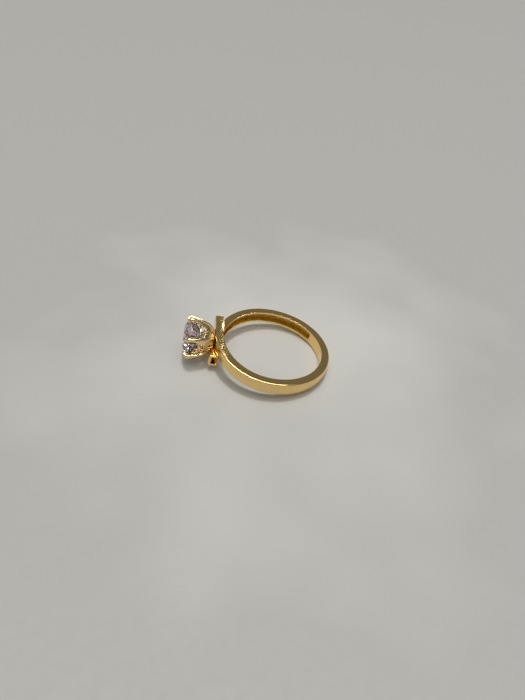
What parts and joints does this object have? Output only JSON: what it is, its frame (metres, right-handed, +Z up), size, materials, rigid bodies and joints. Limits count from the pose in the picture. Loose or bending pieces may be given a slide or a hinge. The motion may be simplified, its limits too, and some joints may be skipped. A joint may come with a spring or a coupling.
{
  "type": "engagement ring",
  "caption": "Solitaire ring on its side: claws on a tulip head hold a round brilliant stone above a bypass band that is hollow behind the shoulders.",
  "frame": {"origin": "middle of the footprint on the surface that the ring lies on, with the ring resting on its side on its lowest claw and on the bottom of the shank", "axes": "+X from the head towards the bottom of the shank, +Y along the surface, +Z up; the finger axis leans 6.7 degrees from +Z, towards +X at its top"},
  "size_m": [0.0252, 0.0202, 0.0077],
  "materials": {
    "yellow_gold": "polished 14 karat yellow gold",
    "clear_stone": "clear faceted stone"
  },
  "bodies": {
    "root": {"shank": "yellow_gold", "head_cup": "yellow_gold", "head_peg": "yellow_gold", "claw_1": "yellow_gold", "claw_2": "yellow_gold", "claw_3": "yellow_gold", "claw_4": "yellow_gold", "claw_5": "yellow_gold", "claw_6": "yellow_gold", "gallery_rail": "yellow_gold", "beaded_wire": "yellow_gold", "stone": "clear_stone"}
  },
  "joints": []
}
